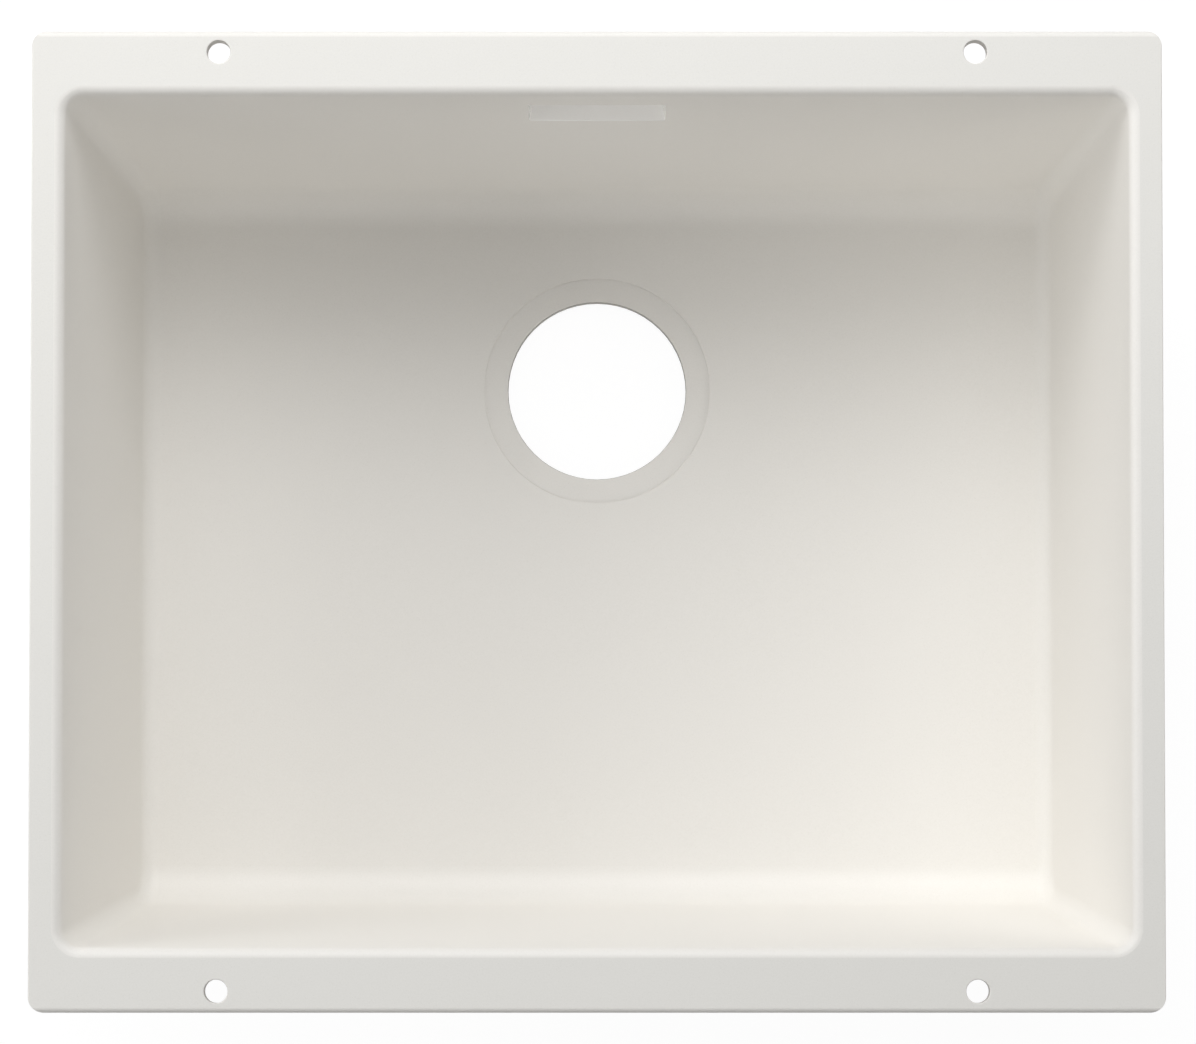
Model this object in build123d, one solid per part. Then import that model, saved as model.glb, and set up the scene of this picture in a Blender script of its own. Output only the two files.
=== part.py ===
import os
from math import radians, tan

from build123d import *

# Undermount kitchen sink: a cast granite-composite bowl with its overflow fitting.
# Millimetres. +X to the right, +Y to the back, +Z up.
# Origin: centre of the flange's top face, which is bonded to the underside of the worktop.

# Flange
flange_end_width = 15.0
flange_side_width = 30.0
flange_thickness = 8.0
flange_corner_radius = 7.5
long_edge_rounding = 2.8
short_edge_rounding = 0.6
flange_hole_diameter = 11.0
flange_hole_rounding = 0.5
hole_spacing_length = 355.0
hole_from_edge = 10.0

# Bowl
bowl_length = 500.0
bowl_width = 400.0
bowl_depth = 190.0
wall_draft = 6.4
wall_thickness = 8.0
floor_thickness = 8.0
rim_rounding = 5.0
corner_radius = 9.0
floor_radius = 20.0
floor_fall = 1.5
under_flange_radius = 4.0

# Waste outlet
waste_hole_diameter = 90.0
waste_hole_rounding = 0.5
waste_from_back = 120.0
waste_seat_diameter = 114.0
waste_seat_depth = 1.0
gasket_seat_diameter = 122.0
gasket_seat_depth = 1.0

# Overflow slot, and the flat pad round it on the back of the bowl
slot_length = 65.0
slot_height = 20.0
slot_below_flange = 19.0
slot_lip_height = 10.6
slot_lip_angle = 60.0
slot_lip_rounding = 3.0
slot_crest_height = 4.0
slot_crest_rounding = 2.0
slot_end_narrowing = 1.0
slot_end_depth = 3.0
pad_distance = 10.0
pad_border = 3.0
pad_corner_radius = 6.0
pad_edge_rounding = 2.0

# Overflow housing
housing_wall = 2.0
chamber_depth = 19.5
chamber_margin = 2.0
rim_plate_thickness = 4.0
rim_plate_border = 17.5
rim_plate_height_border = 7.5
rim_plate_corner = 4.0
chamber_floor_below_slot = 13.0
chamber_corner = 3.0
chamber_top_rounding = 1.5
gusset_thickness = 1.6
gusset_reach = 9.0
gusset_spacing = 8.0
hopper_height = 24.0
seal_width = 2.5
seal_depth = 2.0
seal_inset = 1.2

# Fasteners
screw_diameter = 4.0
screw_length = 12.0
screw_head_diameter = 8.0
screw_head_height = 2.6
screw_head_rounding = 1.2
screw_recess_width = 1.0
screw_recess_length = 4.4
screw_recess_depth = 1.4
screw_spacing_height = 22.0
screw_from_slot = 11.5
washer_diameter = 9.0
washer_thickness = 0.8
insert_diameter = 6.0
insert_length = 8.0
insert_groove_width = 1.5
insert_groove_depth = 0.4
insert_hole_spare = 1.5

# Swivel joint between the housing and the elbow
spigot_diameter = 22.0
socket_wall = 2.0
socket_depth = 18.0
socket_from_bowl = 1.3
throat_diameter = 18.0
throat_length = 2.0
elbow_bore = 17.0
o_ring_section = 1.9
o_ring_below_tip = 5.0
clip_thickness = 1.6
clip_leg_width = 3.0
clip_bridge_width = 2.5
clip_grip = 1.4
clip_above_mouth = 5.0
clip_tip_reach = 10.0
clip_corner = 2.0
collar_height = 3.0

# Outlet leg, its thread and its nut
bend_radius = 15.0
leg_length = 40.0
thread_diameter = 26.4
thread_length = 18.0
pipe_diameter = 20.2
pipe_socket_length = 16.0
seal_seat_diameter = 24.4
seal_seat_depth = 3.0
seal_lip_thickness = 1.5
seal_tip_back = 0.8
slip_ring_thickness = 0.8
nut_diameter = 32.0
nut_length = 18.0
nut_shoulder = 2.6
nut_flutes = 12
nut_flute_diameter = 3.2

# Clearances
running_gap = 0.05
seat_gap = 0.05
axial_gap = 0.2
opening_spare = 0.4

# Tool sizes that leave nothing on the finished part
headroom = 30.0
overcut = 1.0
near = 0.01
nearly_full = 0.98

# Places worked out from the sizes above
flange_length = bowl_length + 2 * flange_end_width
flange_width = bowl_width + 2 * flange_side_width
hole_spacing_width = flange_width - 2 * hole_from_edge
wall_slope = tan(radians(wall_draft))
floor_level = -bowl_depth
seat_level = floor_level - waste_seat_depth
under_level = floor_level - floor_thickness
waste_y = bowl_width / 2 - waste_from_back
slot_top = -slot_below_flange
slot_bottom = slot_top - slot_height
slot_middle = (slot_top + slot_bottom) / 2
pad_face = bowl_width / 2 + pad_distance
chamber_half = slot_length / 2 + chamber_margin
chamber_half_height = slot_height / 2 + chamber_margin
housing_back = pad_face + chamber_depth
chamber_bottom = slot_bottom - chamber_floor_below_slot
plate_length = 2 * (chamber_half + rim_plate_border - chamber_margin)
plate_height = 2 * (chamber_half_height + rim_plate_height_border - chamber_margin)
plate_back = pad_face + rim_plate_thickness
screw_x = slot_length / 2 + screw_from_slot
socket_radius = spigot_diameter / 2 + socket_wall
hopper_bottom = chamber_bottom - hopper_height
throat_bottom = hopper_bottom - throat_length
socket_mouth = throat_bottom - socket_depth
bowl_back_at_hopper = bowl_width / 2 + wall_thickness + hopper_bottom * wall_slope
axis_y = bowl_back_at_hopper + socket_from_bowl + socket_radius
clip_back = axis_y + socket_radius + axial_gap + clip_bridge_width
spigot_radius = spigot_diameter / 2 - running_gap
spigot_tip = throat_bottom - axial_gap
clip_level = socket_mouth + clip_above_mouth
clip_groove_radius = spigot_radius - clip_grip
clip_inner = clip_groove_radius + running_gap
o_ring_level = spigot_tip - o_ring_below_tip
o_ring_radius = spigot_radius - o_ring_section / 2 + running_gap / 2
collar_top = socket_mouth - axial_gap
leg_level = collar_top - collar_height - bend_radius
shoulder_x = leg_length + seal_lip_thickness + slip_ring_thickness


def outline(points):
    """A flat face from its corner points."""
    return make_face(Polyline(*points, close=True))


def round_square(diameter):
    """A circle drawn as a square with nearly full corners, so that it lofts cleanly to a rectangle."""
    return RectangleRounded(diameter, diameter, diameter / 2 * nearly_full)


def back_wall(level):
    """How far back the bowl's inner back wall is at a level."""
    return bowl_width / 2 + level * wall_slope


def screw_places():
    """Screw centres on the housing's plate, as (x, z)."""
    half = screw_spacing_height / 2
    return [(sx * screw_x, slot_middle + sz * half) for sx in (-1, 1) for sz in (-1, 1)]


def along_y(x, y, z):
    """A place whose own Z axis points to the front, for what is screwed in from behind."""
    return Plane(origin=(x, y, z), x_dir=(1, 0, 0), z_dir=(0, -1, 0))


# Bowl


def trough_section(half_width, depth):
    """A level floor between walls that open upwards by the draft."""
    top = half_width + headroom * wall_slope
    bottom = half_width - depth * wall_slope
    return outline([(-top, headroom), (top, headroom), (bottom, -depth), (-bottom, -depth)])


def bowl_form(half_length, half_width, depth, across_radius, end_radius):
    """A U-shaped trough closed by two sloping ends, with one radius running round each end."""
    side = trough_section(half_width, depth)
    side = fillet(side.vertices().group_by(Axis.Y)[0], across_radius)
    front = trough_section(half_length, depth)
    trough = extrude(Plane.YZ * side, half_length + headroom, both=True)
    trough &= extrude(Plane.XZ * front, half_width + headroom, both=True)
    by_side = trough.faces().sort_by(Axis.X)
    end_edges = [edge for end in (by_side[0], by_side[-1]) for edge in end.edges().sort_by(Axis.Z)[:-1]]
    return fillet(end_edges, end_radius)


def bowl_hollow():
    """What the bowl holds: the trough, the floor's fall and the seat of the waste."""
    fall_start = bowl_depth - floor_fall
    hollow = bowl_form(bowl_length / 2, bowl_width / 2, fall_start, floor_radius, corner_radius)
    flat = hollow.faces().sort_by(Axis.Z)[0].bounding_box()
    seat_radius = waste_seat_diameter / 2
    brim = Pos(0, 0, -fall_start) * RectangleRounded(flat.size.X, flat.size.Y, overcut / 2)
    foot = Pos(0, waste_y, floor_level) * round_square(2 * seat_radius)
    hollow += loft([brim.face(), foot.face()], ruled=True)
    hollow += Pos(0, waste_y, floor_level) * seat_cutter(seat_radius)
    return hollow


def seat_cutter(seat_radius):
    """The shallow seat for the waste's rim, with a sloping edge as high as the seat is deep."""
    depth = waste_seat_depth
    edge = outline([(0, 0), (seat_radius + depth, 0), (seat_radius, -depth), (0, -depth)])
    return revolve(Plane.XZ * edge, Axis.Z)


def flange_slab():
    """The flange before the bowl is opened: rounded along its long edges, crisp along its short ones."""
    level = -flange_thickness / 2
    plan = extrude(RectangleRounded(flange_length, flange_width, flange_corner_radius), -flange_thickness)
    side = Pos(0, level) * Rectangle(flange_width, flange_thickness)
    side = fillet(side.vertices().group_by(Axis.Y)[-1], long_edge_rounding)
    front = Pos(0, level) * Rectangle(flange_length, flange_thickness)
    front = fillet(front.vertices().group_by(Axis.Y)[-1], short_edge_rounding)
    slab = plan & extrude(Plane.YZ * side, flange_length, both=True)
    return slab & extrude(Plane.XZ * front, flange_width, both=True)


def overflow_pad():
    """The flat-faced pad on the back of the bowl that the housing is screwed to."""
    start = bowl_width / 2
    bottom = slot_middle - plate_height / 2 - pad_border
    height = -flange_thickness - bottom
    shape = Pos(0, bottom + height / 2) * Rectangle(plate_length + 2 * pad_border, height)
    shape = fillet(shape.vertices().group_by(Axis.Y)[0], pad_corner_radius)
    pad = extrude(Plane(origin=(0, start, 0), x_dir=(-1, 0, 0), z_dir=(0, 1, 0)) * shape, pad_distance)
    face = pad.faces().sort_by(Axis.Y)[-1]
    return fillet(face.edges().sort_by(Axis.Z)[:-1], pad_edge_rounding)


def slot_plan():
    """The slot seen along the wall: its ends narrow a little behind the wall's face."""
    half = slot_length / 2
    narrow = half - slot_end_narrowing
    reach = 2 * (wall_thickness + pad_distance)
    points = [
        (-half, -reach),
        (half, -reach),
        (half, 0),
        (narrow, slot_end_depth),
        (narrow, reach),
        (-narrow, reach),
        (-narrow, slot_end_depth),
        (-half, 0),
    ]
    middle = (0, back_wall(slot_middle), slot_middle)
    across = Plane(origin=middle, x_dir=(1, 0, 0), z_dir=(0, wall_slope, 1))
    return extrude(across * outline(points), 2 * slot_height, both=True)


def slot_cutter():
    """The overflow slot: a lip slopes up from the wall to a crest, and behind it the floor falls back."""
    crest_level = slot_bottom + slot_crest_height
    foot_level = crest_level - slot_lip_height
    low_level = foot_level - slot_lip_height
    crest = (back_wall(foot_level) + slot_lip_height / tan(radians(slot_lip_angle)), crest_level)
    foot = (back_wall(foot_level), foot_level)
    front = back_wall(low_level) - wall_thickness
    points = [
        (front, slot_top),
        (pad_face + overcut, slot_top),
        (pad_face + overcut, slot_bottom),
        crest,
        foot,
        (back_wall(low_level), low_level),
        (front, low_level),
    ]
    profile = outline(points)
    for corner, rounding in ((crest, slot_crest_rounding), (foot, slot_lip_rounding)):
        profile = fillet(profile.vertices().sort_by_distance((*corner, 0))[0], rounding)
    return extrude(Plane.YZ * profile, slot_length / 2, both=True) & slot_plan()


def round_off(part, radius, level, rounding):
    """Rounds the circular edges of one radius at one level."""
    rings = part.edges().filter_by(GeomType.CIRCLE).filter_by(
        lambda edge: abs(edge.radius - radius) < near and abs(edge.center().Z - level) < near
    )
    return fillet(rings, rounding)


def level_face(part, level):
    """The part's flat face at one level."""
    return part.faces().filter_by_position(Axis.Z, level - near, level + near)[0]


def cast_bowl():
    """The whole casting."""
    outer_depth = bowl_depth + floor_thickness
    outer_across = floor_radius + floor_thickness
    outer_end = corner_radius + wall_thickness
    half_length = bowl_length / 2 + wall_thickness
    half_width = bowl_width / 2 + wall_thickness
    outside = bowl_form(half_length, half_width, outer_depth, outer_across, outer_end)
    bowl = flange_slab() + split(outside, Plane.XY, keep=Keep.BOTTOM)
    underside = level_face(bowl, -flange_thickness)
    bowl = fillet(underside.inner_wires()[0].edges(), under_flange_radius)
    bowl -= bowl_hollow()
    bowl = fillet(level_face(bowl, 0).inner_wires()[0].edges(), rim_rounding)
    bowl += overflow_pad()
    bowl -= slot_cutter()
    bowl -= flange_holes()
    bowl = round_off(bowl, flange_hole_diameter / 2, 0, flange_hole_rounding)
    bowl -= Pos(0, waste_y, under_level) * Cylinder(waste_hole_diameter / 2, 3 * floor_thickness)
    bowl = round_off(bowl, waste_hole_diameter / 2, seat_level, waste_hole_rounding)
    bowl -= Pos(0, waste_y, under_level) * Cylinder(gasket_seat_diameter / 2, 2 * gasket_seat_depth)
    depth = insert_length + insert_hole_spare
    insert_hole = Pos(0, 0, depth / 2) * Cylinder(insert_diameter / 2 + seat_gap, depth)
    bowl -= [along_y(x, pad_face, z) * insert_hole for x, z in screw_places()]
    return bowl


def flange_holes():
    """Cutters for the four fixing holes."""
    drill = Cylinder(flange_hole_diameter / 2, 3 * flange_thickness)
    spots = [
        (sx * hole_spacing_length / 2, sy * hole_spacing_width / 2) for sx in (-1, 1) for sy in (-1, 1)
    ]
    return [Pos(x, y, 0) * drill for x, y in spots]


# Overflow housing and its fixings


def hopper(shrink, bottom_diameter):
    """The housing's lower part: a flat box that narrows to a round outlet."""
    depth = housing_back - pad_face
    top = Pos(0, pad_face + depth / 2, chamber_bottom) * RectangleRounded(
        2 * (chamber_half + housing_wall - shrink), depth - 2 * shrink, chamber_corner - shrink / 2
    )
    bottom = Pos(0, axis_y, hopper_bottom) * round_square(bottom_diameter)
    return loft([top.face(), bottom.face()], ruled=True)


def chamber_box(shrink, top, bottom):
    """The housing's upper part: a flat box behind the slot."""
    depth = housing_back - pad_face
    shape = RectangleRounded(
        2 * (chamber_half + housing_wall - shrink), depth - 2 * shrink, chamber_corner - shrink / 2
    )
    return Pos(0, pad_face + depth / 2, bottom) * extrude(shape, top - bottom)


def pad_plane():
    """The bowl's pad, seen from behind, with its middle level with the slot's."""
    return Plane(origin=(0, pad_face, slot_middle), x_dir=(-1, 0, 0), z_dir=(0, 1, 0))


def rim_plate():
    """The plate that lies on the bowl's pad and takes the screws."""
    shape = RectangleRounded(plate_length, plate_height, rim_plate_corner)
    plate = extrude(pad_plane() * shape, rim_plate_thickness)
    screw_hole = Cylinder(screw_diameter / 2 + opening_spare / 2, 3 * rim_plate_thickness)
    return plate - [along_y(x, pad_face, z) * screw_hole for x, z in screw_places()]


def seal_ring(width, depth):
    """A rectangular ring round the chamber's mouth, standing on the pad's plane."""
    inner_x = chamber_half + seal_inset
    inner_z = chamber_half_height + seal_inset
    shape = RectangleRounded(2 * (inner_x + width), 2 * (inner_z + width), seal_inset + width)
    shape -= RectangleRounded(2 * inner_x, 2 * inner_z, seal_inset)
    return extrude(pad_plane() * shape, depth)


def gussets():
    """Small ribs that brace the chamber's ends against the plate."""
    inner = chamber_half + housing_wall - gusset_thickness / 2
    outer = inner + gusset_reach
    back = plate_back + gusset_reach
    corner = outline([(inner, plate_back), (outer, plate_back), (inner, back)])
    rib = extrude(corner, gusset_thickness / 2, both=True)
    places = [slot_middle + sz * gusset_spacing / 2 for sz in (-1, 1)]
    ribs = [Pos(0, 0, z) * rib for z in places]
    return ribs + [mirror(rib, about=Plane.YZ) for rib in ribs]


def overflow_housing():
    """Moulded housing: a plate on the bowl, a chamber behind the slot, a hopper and the swivel's socket."""
    chamber_top = slot_middle + chamber_half_height
    body = chamber_box(0, chamber_top + housing_wall, chamber_bottom)
    body = fillet(body.faces().sort_by(Axis.Z)[-1].edges(), chamber_top_rounding)
    body += rim_plate()
    body += gussets()
    body += hopper(0, 2 * socket_radius)
    socket_height = hopper_bottom - socket_mouth
    body += Pos(0, axis_y, socket_mouth + socket_height / 2) * Cylinder(socket_radius, socket_height)
    body -= chamber_box(housing_wall, chamber_top, chamber_bottom)
    body -= hopper(housing_wall, throat_diameter)
    body -= Pos(0, axis_y, hopper_bottom) * Cylinder(throat_diameter / 2, 3 * throat_length)
    body -= Pos(0, axis_y, throat_bottom - socket_depth / 2) * Cylinder(spigot_diameter / 2, socket_depth)
    mouth_depth = 2 * housing_wall
    mouth = Box(2 * chamber_half, mouth_depth + overcut, 2 * chamber_half_height)
    body -= Pos(0, pad_face + mouth_depth / 2 - overcut / 2, slot_middle) * mouth
    body -= seal_ring(seal_width, seal_depth)
    body -= clip_windows()
    return body


def clip_windows():
    """The two windows through the socket's wall that the clip's legs pass through."""
    reach = 3 * socket_radius
    window = Box(clip_leg_width + opening_spare, reach, clip_thickness + opening_spare)
    middle = clip_inner + clip_leg_width / 2
    return [Pos(side * middle, axis_y, clip_level) * window for side in (-1, 1)]


def retaining_clip():
    """U-shaped clip: two legs in the elbow's groove, joined by a bridge behind the socket."""
    outer = clip_inner + clip_leg_width
    front = axis_y - clip_tip_reach
    shape = Pos(0, (front + clip_back) / 2) * Rectangle(2 * outer, clip_back - front)
    gap_back = clip_back - clip_bridge_width
    gap_length = gap_back - front + overcut
    shape -= Pos(0, gap_back - gap_length / 2) * Rectangle(2 * clip_inner, gap_length)
    shape = fillet(shape.vertices().group_by(Axis.Y)[-1], clip_corner)
    return Pos(0, 0, clip_level) * extrude(shape, clip_thickness / 2, both=True)


def threaded_inserts():
    """Brass inserts in the casting, each with a groove round its middle."""
    radius = insert_diameter / 2
    insert = Cylinder(radius, insert_length)
    groove = Cylinder(radius + overcut, insert_groove_width) - Cylinder(
        radius - insert_groove_depth, insert_groove_width
    )
    insert -= groove
    insert -= Cylinder(screw_diameter / 2 + seat_gap, insert_length)
    return [along_y(x, pad_face, z) * Pos(0, 0, insert_length / 2) * insert for x, z in screw_places()]


def housing_screws():
    """Pan-head screws with a cross recess."""
    head = Cylinder(screw_head_diameter / 2, screw_head_height)
    head = fillet(head.edges().sort_by(Axis.Z)[-1], screw_head_rounding)
    bar = Box(screw_recess_length, screw_recess_width, 2 * screw_recess_depth)
    cross = Pos(0, 0, screw_head_height / 2) * (bar + Rot(0, 0, 90) * bar)
    screw = Pos(0, 0, screw_head_height / 2) * (head - cross)
    screw += Pos(0, 0, -screw_length / 2) * Cylinder(screw_diameter / 2, screw_length)
    seat = plate_back + washer_thickness
    return [Pos(x, seat, z) * Rot(-90, 0, 0) * screw for x, z in screw_places()]


def screw_washers():
    """Flat washers between the screw heads and the plate."""
    washer = Cylinder(washer_diameter / 2, washer_thickness)
    washer -= Cylinder(screw_diameter / 2 + opening_spare / 2, washer_thickness)
    middle = plate_back + washer_thickness / 2
    return [along_y(x, middle, z) * washer for x, z in screw_places()]


# Swivel elbow and what is on it


def elbow_path():
    """Centre line of the elbow: down from the spigot's tip, round the bend and out to the mouth."""
    points = [(0, spigot_tip), (0, leg_level), (leg_length, leg_level)]
    line = FilletPolyline(*points, radius=bend_radius)
    return Plane(origin=(0, axis_y, 0), x_dir=(1, 0, 0), z_dir=(0, -1, 0)) * line


def pipe(diameter):
    """A round bar along the elbow's centre line."""
    start = Plane(origin=(0, axis_y, spigot_tip), x_dir=(1, 0, 0), z_dir=(0, 0, -1))
    return sweep(start * Circle(diameter / 2), path=elbow_path())


def leg_bar(diameter, start, end):
    """A round bar on the outlet leg, from one distance along it to another."""
    middle = (start + end) / 2
    return Pos(middle, axis_y, leg_level) * Rot(0, 90, 0) * Cylinder(diameter / 2, end - start)


def leg_turning(points):
    """A solid turned about the outlet leg, from (distance along the leg, radius) points."""
    plane = Plane(origin=(0, axis_y, leg_level), x_dir=(1, 0, 0), z_dir=(0, -1, 0))
    axis = Axis((0, axis_y, leg_level), (1, 0, 0))
    return revolve(plane * outline(points), axis)


def spigot_groove(level, radius, height):
    """Cutter for a groove round the spigot."""
    ring = Cylinder(spigot_radius + overcut, height) - Cylinder(radius, height)
    return Pos(0, axis_y, level) * ring


def outlet_elbow():
    """Swivelling elbow: grooved spigot, collar, bend, and a threaded leg with a pipe socket."""
    elbow = pipe(2 * spigot_radius)
    elbow += Pos(0, axis_y, collar_top - collar_height / 2) * Cylinder(socket_radius, collar_height)
    elbow += leg_bar(thread_diameter, leg_length - thread_length, leg_length)
    elbow -= pipe(elbow_bore)
    elbow -= leg_bar(pipe_diameter, leg_length - pipe_socket_length, leg_length)
    seat_start = leg_length - seal_seat_depth
    seat_mouth = (leg_length, seal_seat_diameter / 2)
    elbow -= leg_turning([(seat_start, 0), (leg_length, 0), seat_mouth, (seat_start, pipe_diameter / 2)])
    elbow -= spigot_groove(o_ring_level, o_ring_radius - o_ring_section / 2, o_ring_section + opening_spare)
    elbow -= spigot_groove(clip_level, clip_groove_radius, clip_thickness + opening_spare)
    return elbow


def elbow_o_ring():
    """O-ring in the spigot's groove."""
    return Pos(0, axis_y, o_ring_level) * Torus(o_ring_radius, o_ring_section / 2 - running_gap / 2)


def cone_seal():
    """Tapered seal in the elbow's mouth, with a lip that the nut presses on."""
    hole = (pipe_diameter + opening_spare) / 2
    brim = seal_seat_diameter / 2 - seat_gap
    taper = (seal_seat_diameter - pipe_diameter) / 2 / seal_seat_depth
    start = leg_length - seal_seat_depth + seal_tip_back
    tip = brim - (leg_length - start) * taper
    lip = leg_length + seal_lip_thickness
    return leg_turning([(start, hole), (start, tip), (leg_length, brim), (lip, brim), (lip, hole)])


def slip_ring():
    """Thin ring that lets the nut turn without dragging the seal."""
    hole = pipe_diameter + 2 * opening_spare
    start = leg_length + seal_lip_thickness
    ring = leg_bar(seal_seat_diameter, start, shoulder_x)
    return ring - leg_bar(hole, start, shoulder_x)


def union_nut():
    """Fluted nut on the elbow's thread, with a shoulder behind the slip ring."""
    end = shoulder_x + nut_shoulder
    start = end - nut_length
    flute = leg_bar(nut_flute_diameter, start, end)
    nut = leg_bar(nut_diameter, start, end)
    axis = Axis((0, axis_y, leg_level), (1, 0, 0))
    for turn in range(nut_flutes):
        groove = Pos(0, 0, nut_diameter / 2 + nut_flute_diameter / 4) * flute
        nut -= groove.rotate(axis, turn * 360 / nut_flutes)
    nut -= leg_bar(thread_diameter + 2 * seat_gap, start, shoulder_x)
    nut -= leg_bar(pipe_diameter + 2 * opening_spare, start, end)
    return nut


parts = {
    "bowl": cast_bowl(),
    "overflow_housing": overflow_housing(),
    "housing_seal": seal_ring(seal_width, seal_depth),
    "threaded_inserts": Compound(children=threaded_inserts()),
    "housing_screws": Compound(children=housing_screws()),
    "screw_washers": Compound(children=screw_washers()),
    "retaining_clip": retaining_clip(),
    "outlet_elbow": outlet_elbow(),
    "elbow_o_ring": elbow_o_ring(),
    "cone_seal": cone_seal(),
    "slip_ring": slip_ring(),
    "union_nut": union_nut(),
}

os.makedirs("parts", exist_ok=True)
for name, part in parts.items():
    export_step(part, f"parts/{name}.step")
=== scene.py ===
import math

import bmesh
import bpy
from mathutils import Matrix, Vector


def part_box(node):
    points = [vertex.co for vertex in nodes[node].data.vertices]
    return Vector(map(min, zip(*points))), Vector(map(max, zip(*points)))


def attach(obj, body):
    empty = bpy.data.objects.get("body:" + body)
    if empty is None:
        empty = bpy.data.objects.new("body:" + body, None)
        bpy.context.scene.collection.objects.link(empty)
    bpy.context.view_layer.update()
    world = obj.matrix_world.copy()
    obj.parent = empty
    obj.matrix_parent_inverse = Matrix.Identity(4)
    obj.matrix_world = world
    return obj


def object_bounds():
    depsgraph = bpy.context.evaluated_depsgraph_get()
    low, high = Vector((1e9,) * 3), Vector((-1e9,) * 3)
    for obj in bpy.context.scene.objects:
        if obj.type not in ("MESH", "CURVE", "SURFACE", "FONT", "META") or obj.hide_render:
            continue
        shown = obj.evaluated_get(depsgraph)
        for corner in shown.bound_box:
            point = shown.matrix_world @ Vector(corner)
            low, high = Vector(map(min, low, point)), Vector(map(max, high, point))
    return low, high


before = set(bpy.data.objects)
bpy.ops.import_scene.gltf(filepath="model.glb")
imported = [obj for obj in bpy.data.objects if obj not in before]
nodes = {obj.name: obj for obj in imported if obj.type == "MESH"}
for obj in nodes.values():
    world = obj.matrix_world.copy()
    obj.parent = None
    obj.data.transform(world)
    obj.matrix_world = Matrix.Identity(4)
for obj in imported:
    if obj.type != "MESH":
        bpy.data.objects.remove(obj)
cadBox = [list(corner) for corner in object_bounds()]
print("frame loaded:", len(nodes), "nodes")


# Small helpers for node trees

texture = {
    "middle": (0.3, 0.7),   # the part of its range that a noise mostly fills
    "firstInput": 6,        # the mix node's colour sockets, by place
    "secondInput": 7,
    "colourOutput": 2,
}


def newMaterial(name):
    material = bpy.data.materials.new(name)
    material.use_nodes = True
    tree = material.node_tree
    tree.nodes.clear()
    output = tree.nodes.new("ShaderNodeOutputMaterial")
    surface = tree.nodes.new("ShaderNodeBsdfPrincipled")
    tree.links.new(surface.outputs["BSDF"], output.inputs["Surface"])
    return material, tree, surface


def newNode(tree, kind, **values):
    node = tree.nodes.new(kind)
    for name, value in values.items():
        setattr(node, name, value)
    return node


def objectPlace(tree):
    return tree.nodes.new("ShaderNodeTexCoord").outputs["Object"]


def noise(tree, place, scale, detail=2.0, rough=0.5):
    node = newNode(tree, "ShaderNodeTexNoise")
    node.inputs["Scale"].default_value = scale
    node.inputs["Detail"].default_value = detail
    node.inputs["Roughness"].default_value = rough
    tree.links.new(place, node.inputs["Vector"])
    return node.outputs["Fac"]


def ramp(tree, value, edges, shades=(0.0, 1.0)):
    node = newNode(tree, "ShaderNodeValToRGB")
    for mark, edge, shade in zip(node.color_ramp.elements, edges, shades):
        mark.position = edge
        mark.color = (shade, shade, shade, 1)
    tree.links.new(value, node.inputs["Fac"])
    return node.outputs["Color"]


def blended(tree, amount, first, second):
    node = newNode(tree, "ShaderNodeMix", data_type="RGBA")
    tree.links.new(amount, node.inputs[0])
    for place, value in ((texture["firstInput"], first), (texture["secondInput"], second)):
        if isinstance(value, tuple):
            node.inputs[place].default_value = (*value, 1)
        else:
            tree.links.new(value, node.inputs[place])
    return node.outputs[texture["colourOutput"]]


def spread(tree, value, low, high):
    node = newNode(tree, "ShaderNodeMapRange")
    node.inputs["From Min"].default_value = texture["middle"][0]
    node.inputs["From Max"].default_value = texture["middle"][1]
    node.inputs["To Min"].default_value = low
    node.inputs["To Max"].default_value = high
    tree.links.new(value, node.inputs["Value"])
    return node.outputs["Result"]


def bumped(tree, surface, height, depth, strength):
    node = newNode(tree, "ShaderNodeBump")
    node.inputs["Strength"].default_value = strength
    node.inputs["Distance"].default_value = depth
    tree.links.new(height, node.inputs["Height"])
    tree.links.new(node.outputs["Normal"], surface.inputs["Normal"])


# Granite composite of the bowl: warm white with a very fine grain. The polished mould leaves a satin
# skin inside and a glossy one in the slot, and the outer mould a duller back. The slot's skin is also
# paler, which is painted light;
# the flange's flat top is a shade darker, and the walls of the waste hole and the fixing holes much darker,
# which is painted shade

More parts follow.
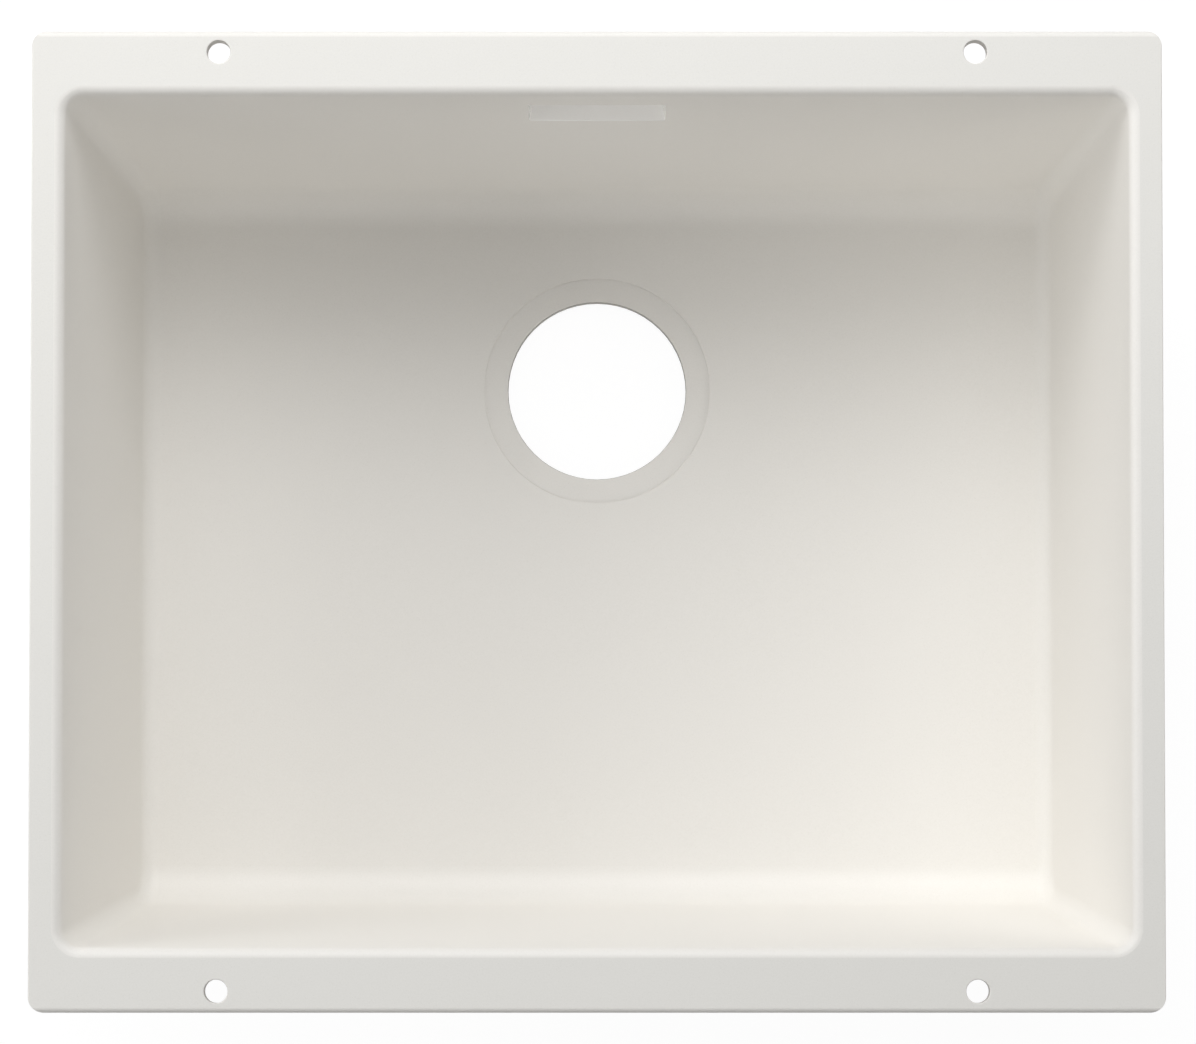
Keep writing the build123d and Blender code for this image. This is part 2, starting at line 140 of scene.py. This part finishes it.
composite = {
    "satinSkin": {
        "pale": (0.888, 0.866, 0.826), "deep": (0.862, 0.840, 0.798), "speck": (0.810, 0.786, 0.742),
        "rough": (0.46, 0.60), "bump": 0.15, "patch": 0.35, "shine": 0.5, "coat": 0.0,
    },
    # painted shade: the flange's flat top is a shade darker than the skin inside, for how light falls on
    # it; its slightly higher roughness is its own
    "groundTopPaintedShade": {
        "pale": (0.844, 0.828, 0.789), "deep": (0.819, 0.804, 0.763), "speck": (0.770, 0.752, 0.709),
        "rough": (0.50, 0.64), "bump": 0.15, "patch": 0.35, "shine": 0.5, "coat": 0.0,
    },
    "dullBack": {
        "pale": (0.850, 0.828, 0.786), "deep": (0.806, 0.783, 0.740), "speck": (0.735, 0.710, 0.665),
        "rough": (0.66, 0.84), "bump": 0.45, "patch": 0.80, "shine": 0.5, "coat": 0.0,
    },
    # painted shade: the waste hole's wall is much darker than the skin, standing in for the shade inside
    # the hole
    "wasteHolePaintedShade": {
        "pale": (0.500, 0.484, 0.457), "deep": (0.420, 0.407, 0.383), "speck": (0.340, 0.327, 0.306),
        "rough": (0.62, 0.80), "bump": 0.60, "patch": 0.35, "shine": 0.5, "coat": 0.0,
    },
    # painted shade: the fixing holes' walls are darker than the skin, standing in for the shade inside the
    # holes
    "fixingHolePaintedShade": {
        "pale": (0.680, 0.660, 0.626), "deep": (0.630, 0.611, 0.580), "speck": (0.560, 0.542, 0.512),
        "rough": (0.62, 0.80), "bump": 0.60, "patch": 0.35, "shine": 0.5, "coat": 0.0,
    },
    # painted light: the slot's skin is paler than the wall around it, standing in for light on the slot's
    # lip; its gloss and coat are rendered
    "glossySlotPaintedLight": {
        "pale": (0.945, 0.930, 0.905), "deep": (0.922, 0.907, 0.881), "speck": (0.875, 0.858, 0.828),
        "rough": (0.30, 0.40), "bump": 0.15, "patch": 0.35, "shine": 1.0, "coat": 1.0,
    },
    "grainScale": 1100.0,
    "grainDetail": 3.0,
    "grainRough": 0.6,
    "grainEdges": (0.35, 0.65),
    "cloudScale": 9.0,
    "cloudEdges": (0.3, 0.7),
    "speckScale": 620.0,
    "speckEdges": (0.10, 0.18),
    "speckStrength": 0.55,
    "bumpDepth": 0.00012,
    "coatRough": 0.15,
}


def compositeMaterial(name):
    look = composite[name]
    material, tree, surface = newMaterial(name)
    place = objectPlace(tree)
    grain = noise(tree, place, composite["grainScale"], composite["grainDetail"], composite["grainRough"])
    cloud = noise(tree, place, composite["cloudScale"])
    grained = ramp(tree, grain, composite["grainEdges"])
    body = blended(tree, grained, look["deep"], look["pale"])
    clouded = ramp(tree, cloud, composite["cloudEdges"], (0.0, look["patch"]))
    cloudy = blended(tree, clouded, body, look["pale"])
    speck = newNode(tree, "ShaderNodeTexVoronoi")
    speck.inputs["Scale"].default_value = composite["speckScale"]
    tree.links.new(place, speck.inputs["Vector"])
    dots = ramp(tree, speck.outputs["Distance"], composite["speckEdges"], (composite["speckStrength"], 0.0))
    colour = blended(tree, dots, cloudy, look["speck"])
    tree.links.new(colour, surface.inputs["Base Color"])
    tree.links.new(spread(tree, grain, *look["rough"]), surface.inputs["Roughness"])
    surface.inputs["Specular IOR Level"].default_value = look["shine"]
    surface.inputs["Coat Weight"].default_value = look["coat"]
    surface.inputs["Coat Roughness"].default_value = composite["coatRough"]
    bumped(tree, surface, grain, composite["bumpDepth"], look["bump"])
    return material


# Where each skin of the casting is, in metres

casting = {
    "flangeUnder": -0.0081,
    "wasteMiddle": (0.0, 0.08),
    "wasteReach": 0.0453,
    "wasteTop": -0.19109,
    "flangeHole": (0.1775, 0.22),
    "flangeHoleReach": 0.0056,
    "slotBox": ((-0.0330, 0.1935, -0.0475), (0.0330, 0.2099, -0.0185)),
    "faceLevel": -0.0001,   # just under the flange's top
    "flatNormal": 0.999,    # the upward part of a flat face's normal
    "slopeNormal": 0.5,     # where a face stops looking sideways and looks up or down
}


def inWasteHole(spot):
    x, y = casting["wasteMiddle"]
    return spot.z < casting["wasteTop"] and math.hypot(spot.x - x, spot.y - y) < casting["wasteReach"]


def inFlangeHole(spot):
    x, y = casting["flangeHole"]
    return math.hypot(abs(spot.x) - x, abs(spot.y) - y) < casting["flangeHoleReach"]


def inSlot(spot):
    low, high = casting["slotBox"]
    return all(a < value < b for a, value, b in zip(low, spot, high))


def skinAt(spot, normal):
    # painted shade: the waste hole's wall gets the dark skin
    if inWasteHole(spot):
        return "wasteHolePaintedShade"
    # painted shade: the fixing holes' walls get the dark skin
    if inFlangeHole(spot):
        return "fixingHolePaintedShade"
    # painted light: the slot gets the pale, glossy skin
    if inSlot(spot):
        return "glossySlotPaintedLight"
    # painted shade: the flange's flat top gets the darker skin
    if spot.z > casting["faceLevel"] and normal.z > casting["flatNormal"]:
        return "groundTopPaintedShade"
    if normal.z < -casting["slopeNormal"]:
        return "dullBack"
    outward = spot.x * normal.x + spot.y * normal.y > 0
    if outward and normal.z < casting["slopeNormal"] and spot.z < casting["flangeUnder"]:
        return "dullBack"
    return "satinSkin"


def dressBowl():
    names = ["satinSkin", "groundTopPaintedShade", "dullBack", "wasteHolePaintedShade", "fixingHolePaintedShade", "glossySlotPaintedLight"]
    mesh = nodes["bowl"].data
    mesh.materials.clear()
    for name in names:
        mesh.materials.append(compositeMaterial(name))
    for face in mesh.polygons:
        face.material_index = names.index(skinAt(face.center, face.normal))


# Moulded plastic of the overflow fitting

plastic = {
    "housing": {"pale": (0.80, 0.80, 0.785), "deep": (0.765, 0.765, 0.75), "rough": (0.34, 0.46)},
    "elbow": {"pale": (0.79, 0.79, 0.775), "deep": (0.755, 0.755, 0.74), "rough": (0.30, 0.42)},
    "nut": {"pale": (0.80, 0.80, 0.785), "deep": (0.76, 0.76, 0.745), "rough": (0.36, 0.48)},
    "clip": {"pale": (0.095, 0.10, 0.105), "deep": (0.07, 0.074, 0.078), "rough": (0.32, 0.44)},
    "textureScale": 2200.0,
    "flowScale": 60.0,
    "flowDetail": 3.0,
    "flowEdges": (0.3, 0.7),
    "bump": 0.3,
    "bumpDepth": 0.00006,
}


def plasticMaterial(name):
    look = plastic[name]
    material, tree, surface = newMaterial(name + "Plastic")
    place = objectPlace(tree)
    flow = noise(tree, place, plastic["flowScale"], plastic["flowDetail"])
    skin = noise(tree, place, plastic["textureScale"])
    colour = blended(tree, ramp(tree, flow, plastic["flowEdges"]), look["deep"], look["pale"])
    tree.links.new(colour, surface.inputs["Base Color"])
    tree.links.new(spread(tree, skin, *look["rough"]), surface.inputs["Roughness"])
    bumped(tree, surface, skin, plastic["bumpDepth"], plastic["bump"])
    return material


# Black rubber of the seals

rubber = {
    "pale": (0.030, 0.030, 0.031),
    "deep": (0.018, 0.018, 0.019),
    "rough": (0.62, 0.80),
    "bloomScale": 180.0,
    "bloomDetail": 4.0,
    "bloomRough": 0.6,
    "bloomEdges": (0.35, 0.7),
    "bump": 0.3,
    "bumpDepth": 0.00008,
}


def rubberMaterial():
    material, tree, surface = newMaterial("sealRubber")
    place = objectPlace(tree)
    bloom = noise(tree, place, rubber["bloomScale"], rubber["bloomDetail"], rubber["bloomRough"])
    colour = blended(tree, ramp(tree, bloom, rubber["bloomEdges"]), rubber["deep"], rubber["pale"])
    tree.links.new(colour, surface.inputs["Base Color"])
    tree.links.new(spread(tree, bloom, *rubber["rough"]), surface.inputs["Roughness"])
    bumped(tree, surface, bloom, rubber["bumpDepth"], rubber["bump"])
    return material


# Metal of the screws, washers and inserts

metal = {
    "steel": {"pale": (0.62, 0.62, 0.61), "deep": (0.50, 0.50, 0.49), "rough": (0.22, 0.38)},
    "brass": {"pale": (0.80, 0.60, 0.28), "deep": (0.66, 0.47, 0.19), "rough": (0.20, 0.34)},
    "stainScale": 400.0,
    "stainDetail": 3.0,
    "stainEdges": (0.35, 0.65),
    "toolScale": 2600.0,
    "toolDetail": 1.0,
    "bump": 0.25,
    "bumpDepth": 0.00003,
}


def metalMaterial(name):
    look = metal[name]
    material, tree, surface = newMaterial("turned" + name.capitalize())
    surface.inputs["Metallic"].default_value = 1.0
    place = objectPlace(tree)
    stain = noise(tree, place, metal["stainScale"], metal["stainDetail"])
    tool = noise(tree, place, metal["toolScale"], metal["toolDetail"])
    colour = blended(tree, ramp(tree, stain, metal["stainEdges"]), look["deep"], look["pale"])
    tree.links.new(colour, surface.inputs["Base Color"])
    tree.links.new(spread(tree, tool, *look["rough"]), surface.inputs["Roughness"])
    bumped(tree, surface, tool, metal["bumpDepth"], metal["bump"])
    return material


def dress(node, material):
    mesh = nodes[node].data
    mesh.materials.clear()
    mesh.materials.append(material)


seals = rubberMaterial()
steel = metalMaterial("steel")
dressBowl()
dress("overflow_housing", plasticMaterial("housing"))
dress("outlet_elbow", plasticMaterial("elbow"))
dress("union_nut", plasticMaterial("nut"))
dress("retaining_clip", plasticMaterial("clip"))
dress("slip_ring", plasticMaterial("clip"))
dress("housing_seal", seals)
dress("elbow_o_ring", seals)
dress("cone_seal", seals)
dress("housing_screws", steel)
dress("screw_washers", steel)
dress("threaded_inserts", metalMaterial("brass"))
print("materials dressed")


# Thread of the elbow's leg, where it shows between the bend and the nut

thread = {
    "start": 0.0222,
    "length": 0.0044,
    "pitch": 0.0022,
    "rootRadius": 0.01312,
    "height": 0.00055,
    "rootWidth": 0.0013,
    "crestWidth": 0.0005,
    "stepsPerTurn": 72,
    "runOut": 1 / 8,
}


def ridgeSection(share):
    rise = thread["height"] * min(1, share / thread["runOut"], (1 - share) / thread["runOut"])
    wide = thread["rootWidth"] / 2
    narrow = thread["crestWidth"] / 2
    root = thread["rootRadius"]
    return [(-wide, root), (-narrow, root + rise), (narrow, root + rise), (wide, root)]


def makeThread(axisY, axisZ):
    turns = thread["length"] / thread["pitch"]
    steps = round(turns * thread["stepsPerTurn"])
    shape = bmesh.new()
    rings = []
    for step in range(steps + 1):
        share = step / steps
        angle = 2 * math.pi * turns * share
        along = thread["start"] + thread["length"] * share
        ring = []
        for offset, radius in ridgeSection(share):
            spot = (along + offset, axisY + radius * math.cos(angle), axisZ + radius * math.sin(angle))
            ring.append(shape.verts.new(spot))
        rings.append(ring)
    for first, second in zip(rings, rings[1:]):
        for corner in range(4):
            following = (corner + 1) % 4
            shape.faces.new((first[corner], first[following], second[following], second[corner]))
    shape.faces.new(rings[0])
    shape.faces.new(reversed(rings[-1]))
    bmesh.ops.recalc_face_normals(shape, faces=shape.faces)
    mesh = bpy.data.meshes.new("legThread")
    shape.to_mesh(mesh)
    shape.free()
    piece = bpy.data.objects.new("legThread", mesh)
    bpy.context.collection.objects.link(piece)
    mesh.materials.append(nodes["outlet_elbow"].data.materials[0])
    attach(piece, "outlet")


def middle(node):
    low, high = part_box(node)
    return [(a + b) / 2 for a, b in zip(low, high)]


nutMiddle = middle("union_nut")
makeThread(nutMiddle[1], nutMiddle[2])
print("thread made")


# Floor, world, lights and camera

studio = {
    "floorSize": 40.0,
    "floorGap": 0.0003,
    "floorColour": (0.60, 0.60, 0.60),
    "floorRough": 0.9,
    "shadeColour": (0.10, 0.10, 0.10),   # takes the sink's shadow where the camera sees the floor
    "seenWhite": 0.94,
    "skyLight": 0.10,
    "backgroundColour": (1.0, 1.0, 1.0),
    "lightColour": (0.988, 0.994, 1.0),
    "aim": (0.0, 0.0, -0.1),
}


def makeFloor():
    half = studio["floorSize"] / 2
    level = cadBox[0][2] - studio["floorGap"]
    corners = [(-half, -half, level), (half, -half, level), (half, half, level), (-half, half, level)]
    mesh = bpy.data.meshes.new("floor")
    mesh.from_pydata(corners, [], [(0, 1, 2, 3)])
    floor = bpy.data.objects.new("floor", mesh)
    bpy.context.collection.objects.link(floor)
    mesh.materials.append(floorMaterial())


def seenDirectly(tree):
    path = newNode(tree, "ShaderNodeLightPath")
    total = path.outputs["Is Camera Ray"]
    for name in ("Is Glossy Ray", "Is Transmission Ray"):
        either = newNode(tree, "ShaderNodeMath", operation="MAXIMUM")
        tree.links.new(total, either.inputs[0])
        tree.links.new(path.outputs[name], either.inputs[1])
        total = either.outputs["Value"]
    return total


def floorMaterial():
    material, tree, surface = newMaterial("paleFloor")
    surface.inputs["Base Color"].default_value = (*studio["floorColour"], 1)
    surface.inputs["Roughness"].default_value = studio["floorRough"]
    surface.inputs["Specular IOR Level"].default_value = 0.0
    output = next(node for node in tree.nodes if node.type == "OUTPUT_MATERIAL")
    shade = newNode(tree, "ShaderNodeBsdfDiffuse")
    shade.inputs["Color"].default_value = (*studio["shadeColour"], 1)
    glow = newNode(tree, "ShaderNodeEmission")
    glow.inputs["Strength"].default_value = studio["seenWhite"]
    seen = newNode(tree, "ShaderNodeAddShader")
    tree.links.new(shade.outputs[0], seen.inputs[0])
    tree.links.new(glow.outputs[0], seen.inputs[1])
    choice = newNode(tree, "ShaderNodeMixShader")
    tree.links.new(seenDirectly(tree), choice.inputs[0])
    tree.links.new(surface.outputs[0], choice.inputs[1])
    tree.links.new(seen.outputs[0], choice.inputs[2])
    tree.links.new(choice.outputs[0], output.inputs["Surface"])
    return material


def makeWorld():
    world = bpy.data.worlds.new("studioWorld")
    bpy.context.scene.world = world
    world.use_nodes = True
    tree = world.node_tree
    tree.nodes.clear()
    output = newNode(tree, "ShaderNodeOutputWorld")
    sky = newNode(tree, "ShaderNodeBackground")
    sky.inputs["Color"].default_value = (*studio["lightColour"], 1)
    sky.inputs["Strength"].default_value = studio["skyLight"]
    seen = newNode(tree, "ShaderNodeBackground")
    seen.inputs["Color"].default_value = (*studio["backgroundColour"], 1)
    choice = newNode(tree, "ShaderNodeMixShader")
    tree.links.new(seenDirectly(tree), choice.inputs[0])
    tree.links.new(sky.outputs[0], choice.inputs[1])
    tree.links.new(seen.outputs[0], choice.inputs[2])
    tree.links.new(choice.outputs[0], output.inputs["Surface"])


lamps = {
    "wideBack": {"place": (0.0, 1.354, 1.634), "size": 2.0, "power": 25.7},
    "lowLeft": {"place": (-1.994, 0.0, 0.83), "size": 1.2, "power": 12.2},
    "lowBackLeft": {"place": (-1.41, 1.41, 0.83), "size": 1.2, "power": 8.3},
    "nearBack": {"place": (0.0, 0.9, 0.9), "size": 0.7, "power": 3.0},
    "front": {"place": (0.0, -1.802, 1.162), "size": 1.2, "power": 5.1},
    "highFront": {"place": (0.0, -1.414, 1.585), "size": 1.6, "power": 3.2},
    "lowRight": {"place": (2.125, 0.0, 0.469), "size": 1.2, "power": 4.2},
}


def makeLamp(name, look):
    light = bpy.data.lights.new(name, "AREA")
    light.shape = "DISK"
    light.size = look["size"]
    light.energy = look["power"]
    light.color = studio["lightColour"]
    lamp = bpy.data.objects.new(name, light)
    lamp.location = look["place"]
    lamp.rotation_euler = (Vector(studio["aim"]) - lamp.location).to_track_quat("-Z", "Y").to_euler()
    bpy.context.collection.objects.link(lamp)


viewPoint = {
    "place": (0.0005, -0.1725, 2.2747),
    "tiltDegrees": 2.27,
    "lens": 146.85,
    "sensorWidth": 36.0,
    "lift": 0.1454,
    "farthest": 100.0,
}


def makeCamera():
    camera = bpy.data.cameras.new("camera")
    camera.lens = viewPoint["lens"]
    camera.sensor_width = viewPoint["sensorWidth"]
    camera.shift_y = viewPoint["lift"]
    camera.clip_end = viewPoint["farthest"]
    holder = bpy.data.objects.new("camera", camera)
    holder.location = viewPoint["place"]
    holder.rotation_euler = (math.radians(viewPoint["tiltDegrees"]), 0, 0)
    bpy.context.collection.objects.link(holder)
    bpy.context.scene.camera = holder


makeFloor()
makeWorld()
for lampName, lampLook in lamps.items():
    makeLamp(lampName, lampLook)
makeCamera()
bpy.context.scene.view_settings.view_transform = "Standard"
print("studio set")
